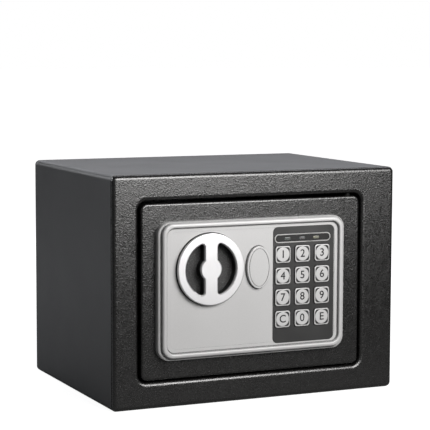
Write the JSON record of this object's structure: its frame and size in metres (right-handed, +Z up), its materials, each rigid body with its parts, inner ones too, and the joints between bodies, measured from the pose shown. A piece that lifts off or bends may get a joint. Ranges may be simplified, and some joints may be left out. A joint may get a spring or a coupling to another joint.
{
  "type": "small electronic safe",
  "caption": "Small black steel safe with a concealed-hinge door, raised silver control panel, turning knob that drives round bolts, oval key cover and push-button keypad.",
  "frame": {"origin": "centre of the object's bounding box, at the underside of the base", "axes": "+Z up; the door faces -Y; +X is to the right as seen from the front, the hinge side"},
  "size_m": [0.23, 0.1794, 0.17],
  "materials": {
    "body_enamel": "fine textured black powder coat",
    "door_enamel": "textured black powder coat",
    "inner_enamel": "satin black powder coat",
    "plated_steel": "zinc plated",
    "felt": "needled felt",
    "silver_plastic": "satin silver paint",
    "keypad_plastic": "satin dark grey",
    "silver_line": "satin silver",
    "led_green": "unlit tinted lens",
    "led_grey": "unlit tinted lens",
    "led_yellow": "unlit tinted lens",
    "board": "solder resist",
    "knob_chrome": "bright plated",
    "black_plastic": "moulded, fine grain",
    "bolt_chrome": "bright plated",
    "lock_brass": "nickel over brass",
    "coil_winding": "taped copper winding",
    "cell_wrap": "plain printed sleeve",
    "red_plastic": "moulded",
    "key_plastic": "satin silver paint"
  },
  "bodies": {
    "cabinet": {"body_tube": "body_enamel", "front_frame": "door_enamel", "back_panel": "body_enamel", "hinge_bracket_upper": "plated_steel", "hinge_bracket_lower": "plated_steel", "floor_mat": "felt"},
    "door": {"door_panel": "door_enamel", "door_chassis": "inner_enamel", "hinge_pins": "inner_enamel", "bolt_guide": "plated_steel", "door_inner_cover": "inner_enamel", "cover_posts": "plated_steel", "cover_screws": "plated_steel", "control_panel_bezel": "silver_plastic", "panel_screws": "plated_steel", "keypad_plate": "keypad_plastic", "indicator_outline": "silver_line", "led_left": "led_green", "led_middle": "led_grey", "led_right": "led_yellow", "circuit_board": "board", "switch_domes": "plated_steel", "carriage_posts": "plated_steel", "lock_cylinder": "lock_brass", "solenoid_frame": "plated_steel", "solenoid_coil": "coil_winding", "plunger_spring": "plated_steel", "battery_tray": "black_plastic", "battery_cells": "cell_wrap", "battery_contacts": "plated_steel", "reset_switch": "black_plastic"},
    "knob": {"knob_trim": "knob_chrome", "knob_cup": "black_plastic", "knob_spindle": "plated_steel", "knob_cam": "plated_steel"},
    "bolt_work": {"bolt_carriage": "plated_steel", "locking_bolts": "bolt_chrome", "bolt_screws": "plated_steel"},
    "plunger": {"solenoid_plunger": "plated_steel"},
    "emergency_plug": {"lock_plug": "lock_brass", "lock_cam": "plated_steel"},
    "oval_cap": {"key_cover": "silver_plastic"},
    "battery_lid": {"battery_cover": "black_plastic"},
    "reset": {"reset_button": "red_plastic"},
    "key_1_cap": {"key_1": "key_plastic"},
    "key_2_cap": {"key_2": "key_plastic"},
    "key_3_cap": {"key_3": "key_plastic"},
    "key_4_cap": {"key_4": "key_plastic"},
    "key_5_cap": {"key_5": "key_plastic"},
    "key_6_cap": {"key_6": "key_plastic"},
    "key_7_cap": {"key_7": "key_plastic"},
    "key_8_cap": {"key_8": "key_plastic"},
    "key_9_cap": {"key_9": "key_plastic"},
    "key_clear_cap": {"key_clear": "key_plastic"},
    "key_0_cap": {"key_0": "key_plastic"},
    "key_enter_cap": {"key_enter": "key_plastic"}
  },
  "joints": [
    {"name": "door_hinge", "type": "hinge", "parent": "cabinet", "child": "door", "pos_m": [0.077, -0.07475, 0.085], "axis": [0, 0, 1], "range_deg": [0, 95]},
    {"name": "knob_turn", "type": "hinge", "parent": "door", "child": "knob", "pos_m": [-0.042, -0.08025, 0.1007], "axis": [0, -1, 0], "range_deg": [0, 90]},
    {"name": "bolt_slide", "type": "slide", "parent": "door", "child": "bolt_work", "axis": [-1, 0, 0], "range_m": [0, 0.0099]},
    {"name": "plunger_slide", "type": "slide", "parent": "door", "child": "plunger", "axis": [0, 0, 1], "range_m": [-0.0045, 0], "deforming": ["plunger_spring"]},
    {"name": "emergency_lock_turn", "type": "hinge", "parent": "door", "child": "emergency_plug", "pos_m": [-0.0031, -0.08025, 0.1], "axis": [0, -1, 0], "range_deg": [0, 90]},
    {"name": "key_cover_lift", "type": "slide", "parent": "door", "child": "oval_cap", "axis": [0, -1, 0], "range_m": [0, 0.015]},
    {"name": "battery_cover_lift", "type": "slide", "parent": "door", "child": "battery_lid", "axis": [0, 1, 0], "range_m": [0, 0.06]},
    {"name": "reset_press", "type": "slide", "parent": "door", "child": "reset", "axis": [0, -1, 0], "range_m": [0, 0.0015], "stiffness_N_per_m": 300, "springref_m": -0.0005},
    {"name": "key_1_press", "type": "slide", "parent": "door", "child": "key_1_cap", "axis": [0, 1, 0], "range_m": [0, 0.0009], "stiffness_N_per_m": 400, "springref_m": -0.0004},
    {"name": "key_2_press", "type": "slide", "parent": "door", "child": "key_2_cap", "axis": [0, 1, 0], "range_m": [0, 0.0009], "stiffness_N_per_m": 400, "springref_m": -0.0004},
    {"name": "key_3_press", "type": "slide", "parent": "door", "child": "key_3_cap", "axis": [0, 1, 0], "range_m": [0, 0.0009], "stiffness_N_per_m": 400, "springref_m": -0.0004},
    {"name": "key_4_press", "type": "slide", "parent": "door", "child": "key_4_cap", "axis": [0, 1, 0], "range_m": [0, 0.0009], "stiffness_N_per_m": 400, "springref_m": -0.0004},
    {"name": "key_5_press", "type": "slide", "parent": "door", "child": "key_5_cap", "axis": [0, 1, 0], "range_m": [0, 0.0009], "stiffness_N_per_m": 400, "springref_m": -0.0004},
    {"name": "key_6_press", "type": "slide", "parent": "door", "child": "key_6_cap", "axis": [0, 1, 0], "range_m": [0, 0.0009], "stiffness_N_per_m": 400, "springref_m": -0.0004},
    {"name": "key_7_press", "type": "slide", "parent": "door", "child": "key_7_cap", "axis": [0, 1, 0], "range_m": [0, 0.0009], "stiffness_N_per_m": 400, "springref_m": -0.0004},
    {"name": "key_8_press", "type": "slide", "parent": "door", "child": "key_8_cap", "axis": [0, 1, 0], "range_m": [0, 0.0009], "stiffness_N_per_m": 400, "springref_m": -0.0004},
    {"name": "key_9_press", "type": "slide", "parent": "door", "child": "key_9_cap", "axis": [0, 1, 0], "range_m": [0, 0.0009], "stiffness_N_per_m": 400, "springref_m": -0.0004},
    {"name": "key_clear_press", "type": "slide", "parent": "door", "child": "key_clear_cap", "axis": [0, 1, 0], "range_m": [0, 0.0009], "stiffness_N_per_m": 400, "springref_m": -0.0004},
    {"name": "key_0_press", "type": "slide", "parent": "door", "child": "key_0_cap", "axis": [0, 1, 0], "range_m": [0, 0.0009], "stiffness_N_per_m": 400, "springref_m": -0.0004},
    {"name": "key_enter_press", "type": "slide", "parent": "door", "child": "key_enter_cap", "axis": [0, 1, 0], "range_m": [0, 0.0009], "stiffness_N_per_m": 400, "springref_m": -0.0004}
  ],
  "couplings": [
    {"joint": "bolt_slide", "follows": "knob_turn", "m_per_rad": 0.0063}
  ]
}
